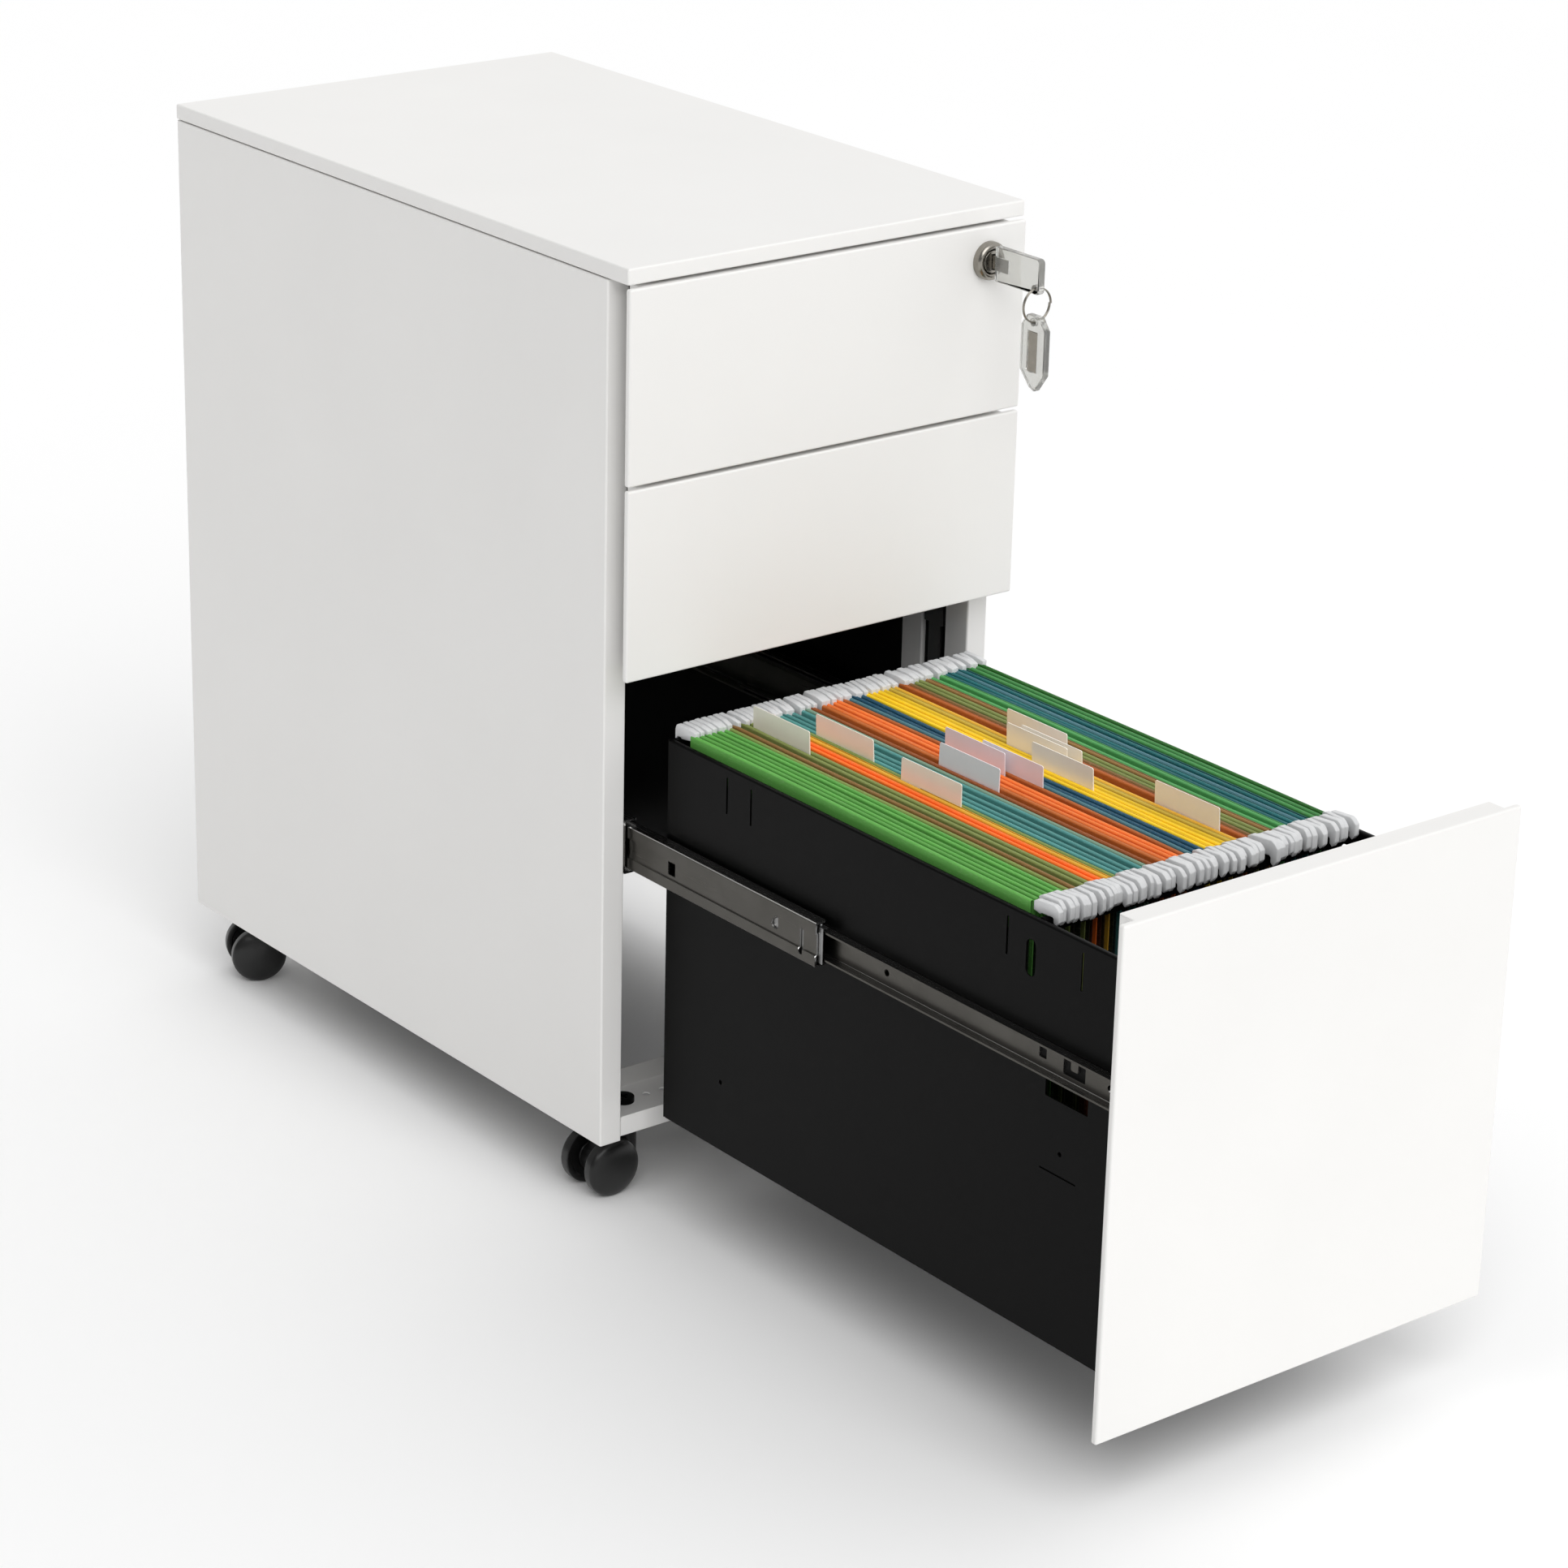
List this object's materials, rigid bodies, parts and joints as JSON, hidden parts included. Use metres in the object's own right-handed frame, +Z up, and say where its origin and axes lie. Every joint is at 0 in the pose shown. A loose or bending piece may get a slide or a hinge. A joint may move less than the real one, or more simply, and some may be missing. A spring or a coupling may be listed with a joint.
{
  "type": "mobile filing cabinet",
  "caption": "Slim white steel pedestal on casters, with shallow drawers over an open file drawer that holds hanging folders, and a front lock.",
  "frame": {"origin": "on the floor, under the middle of the box that holds the cabinet with its file drawer open", "axes": "+Z up, -Y the way the drawers pull out, +X to the right seen from the front"},
  "size_m": [0.3, 0.938, 0.615],
  "materials": {
    "white_paint": "powder-coated sheet steel, fine satin texture",
    "black_paint": "powder-coated sheet steel, satin black",
    "zinc": "bright zinc-plated steel",
    "nickel": "nickel-plated",
    "black_plastic": "moulded nylon",
    "clear_plastic": "moulded, clear",
    "folder_card": "coloured card folders with pale hooks"
  },
  "bodies": {
    "carcass": {"side_panel_left": "white_paint", "side_panel_right": "white_paint", "back_panel": "white_paint", "top_panel": "white_paint", "bottom_rail_front": "white_paint", "bottom_rail_rear": "white_paint", "side_liners": "black_paint", "slide_posts": "white_paint", "slide_members_cabinet": "zinc", "carcass_screws": "zinc", "caster_bolts": "black_paint", "lock_bar_guides": "zinc"},
    "file_drawer": {"file_front": "white_paint", "file_side_left": "black_paint", "file_side_right": "black_paint", "file_back": "black_paint", "file_inner_front": "black_paint", "file_bottom": "black_paint", "hanger_rail": "black_paint", "file_slide_members": "zinc", "file_screws": "zinc"},
    "folders": {"hanging_folders": "folder_card"},
    "file_slide_middle": {"file_middle_members": "zinc", "file_ball_cages": "zinc"},
    "top_slide_middle": {"top_middle_members": "zinc", "top_ball_cages": "zinc"},
    "mid_slide_middle": {"mid_middle_members": "zinc", "mid_ball_cages": "zinc"},
    "top_drawer": {"top_front": "white_paint", "top_tray": "black_paint", "top_slide_members": "zinc", "lock_housing": "nickel", "lock_nut": "nickel"},
    "middle_drawer": {"mid_front": "white_paint", "mid_tray": "black_paint", "mid_slide_members": "zinc"},
    "lock_plug": {"lock_plug": "nickel", "lock_cam": "zinc", "key_blade": "nickel", "key_head": "clear_plastic"},
    "key_ring": {"key_ring": "nickel"},
    "spare_key": {"spare_key_head": "clear_plastic", "spare_key_blade": "nickel"},
    "lock_bar": {"lock_bar": "zinc"},
    "caster_fl": {"caster_fork_fl": "black_plastic", "caster_axle_fl": "zinc"},
    "wheel_fl_a": {"wheel_fl_a": "black_plastic"},
    "wheel_fl_b": {"wheel_fl_b": "black_plastic"},
    "caster_fr": {"caster_fork_fr": "black_plastic", "caster_axle_fr": "zinc"},
    "wheel_fr_a": {"wheel_fr_a": "black_plastic"},
    "wheel_fr_b": {"wheel_fr_b": "black_plastic"},
    "caster_bl": {"caster_fork_bl": "black_plastic", "caster_axle_bl": "zinc"},
    "wheel_bl_a": {"wheel_bl_a": "black_plastic"},
    "wheel_bl_b": {"wheel_bl_b": "black_plastic"},
    "caster_br": {"caster_fork_br": "black_plastic", "caster_axle_br": "zinc"},
    "wheel_br_a": {"wheel_br_a": "black_plastic"},
    "wheel_br_b": {"wheel_br_b": "black_plastic"}
  },
  "joints": [
    {"name": "file_drawer_slide", "type": "slide", "parent": "carcass", "child": "file_drawer", "axis": [0, 1, 0], "range_m": [-0.012, 0.438]},
    {"name": "file_middle_slide", "type": "slide", "parent": "carcass", "child": "file_slide_middle", "axis": [0, 1, 0], "range_m": [-0.006, 0.219]},
    {"name": "folders_lift", "type": "slide", "parent": "file_drawer", "child": "folders", "axis": [0, 0, -1], "range_m": [-0.15, 0]},
    {"name": "top_drawer_slide", "type": "slide", "parent": "carcass", "child": "top_drawer", "axis": [0, -1, 0], "range_m": [0, 0.45]},
    {"name": "top_middle_slide", "type": "slide", "parent": "carcass", "child": "top_slide_middle", "axis": [0, -1, 0], "range_m": [0, 0.225]},
    {"name": "middle_drawer_slide", "type": "slide", "parent": "carcass", "child": "middle_drawer", "axis": [0, -1, 0], "range_m": [0, 0.45]},
    {"name": "mid_middle_slide", "type": "slide", "parent": "carcass", "child": "mid_slide_middle", "axis": [0, -1, 0], "range_m": [0, 0.225]},
    {"name": "key_turn", "type": "hinge", "parent": "top_drawer", "child": "lock_plug", "pos_m": [0.12, -0.031, 0.582], "axis": [0, -1, 0], "range_deg": [0, 90]},
    {"name": "lock_bar_lift", "type": "slide", "parent": "carcass", "child": "lock_bar", "axis": [0, 0, 1], "range_m": [0, 0.0114]},
    {"name": "key_ring_swing", "type": "hinge", "parent": "lock_plug", "child": "key_ring", "pos_m": [0.12, -0.0772, 0.5746], "axis": [1, 0, 0], "range_deg": [-45, 15]},
    {"name": "spare_key_swing", "type": "hinge", "parent": "key_ring", "child": "spare_key", "pos_m": [0.12, -0.0772, 0.554], "axis": [1, 0, 0], "range_deg": [-45, 15]},
    {"name": "caster_fl_swivel", "type": "hinge", "parent": "carcass", "child": "caster_fl", "pos_m": [-0.103, 0.031, 0.04], "axis": [0, 0, 1], "continuous": true},
    {"name": "wheel_fl_a_spin", "type": "hinge", "parent": "caster_fl", "child": "wheel_fl_a", "pos_m": [-0.121, 0.031, 0.019], "axis": [0, -1, 0], "continuous": true},
    {"name": "wheel_fl_b_spin", "type": "hinge", "parent": "caster_fl", "child": "wheel_fl_b", "pos_m": [-0.121, 0.031, 0.019], "axis": [0, -1, 0], "continuous": true},
    {"name": "caster_fr_swivel", "type": "hinge", "parent": "carcass", "child": "caster_fr", "pos_m": [0.103, 0.031, 0.04], "axis": [0, 0, 1], "continuous": true},
    {"name": "wheel_fr_a_spin", "type": "hinge", "parent": "caster_fr", "child": "wheel_fr_a", "pos_m": [0.11931, 0.02339, 0.019], "axis": [0.4226, 0.9063, 0], "continuous": true},
    {"name": "wheel_fr_b_spin", "type": "hinge", "parent": "caster_fr", "child": "wheel_fr_b", "pos_m": [0.11931, 0.02339, 0.019], "axis": [0.4226, 0.9063, 0], "continuous": true},
    {"name": "caster_bl_swivel", "type": "hinge", "parent": "carcass", "child": "caster_bl", "pos_m": [-0.103, 0.435, 0.04], "axis": [0, 0, 1], "continuous": true},
    {"name": "wheel_bl_a_spin", "type": "hinge", "parent": "caster_bl", "child": "wheel_bl_a", "pos_m": [-0.11969, 0.44174, 0.019], "axis": [-0.3746, -0.9272, 0], "continuous": true},
    {"name": "wheel_bl_b_spin", "type": "hinge", "parent": "caster_bl", "child": "wheel_bl_b", "pos_m": [-0.11969, 0.44174, 0.019], "axis": [-0.3746, -0.9272, 0], "continuous": true},
    {"name": "caster_br_swivel", "type": "hinge", "parent": "carcass", "child": "caster_br", "pos_m": [0.103, 0.435, 0.04], "axis": [0, 0, 1], "continuous": true},
    {"name": "wheel_br_a_spin", "type": "hinge", "parent": "caster_br", "child": "wheel_br_a", "pos_m": [0.11969, 0.44174, 0.019], "axis": [-0.3746, 0.9272, 0], "continuous": true},
    {"name": "wheel_br_b_spin", "type": "hinge", "parent": "caster_br", "child": "wheel_br_b", "pos_m": [0.11969, 0.44174, 0.019], "axis": [-0.3746, 0.9272, 0], "continuous": true}
  ],
  "couplings": [
    {"joint": "file_middle_slide", "follows": "file_drawer_slide", "ratio": 0.5},
    {"joint": "top_middle_slide", "follows": "top_drawer_slide", "ratio": 0.5},
    {"joint": "mid_middle_slide", "follows": "middle_drawer_slide", "ratio": 0.5},
    {"joint": "lock_bar_lift", "follows": "key_turn", "m_per_rad": 0.0072}
  ]
}
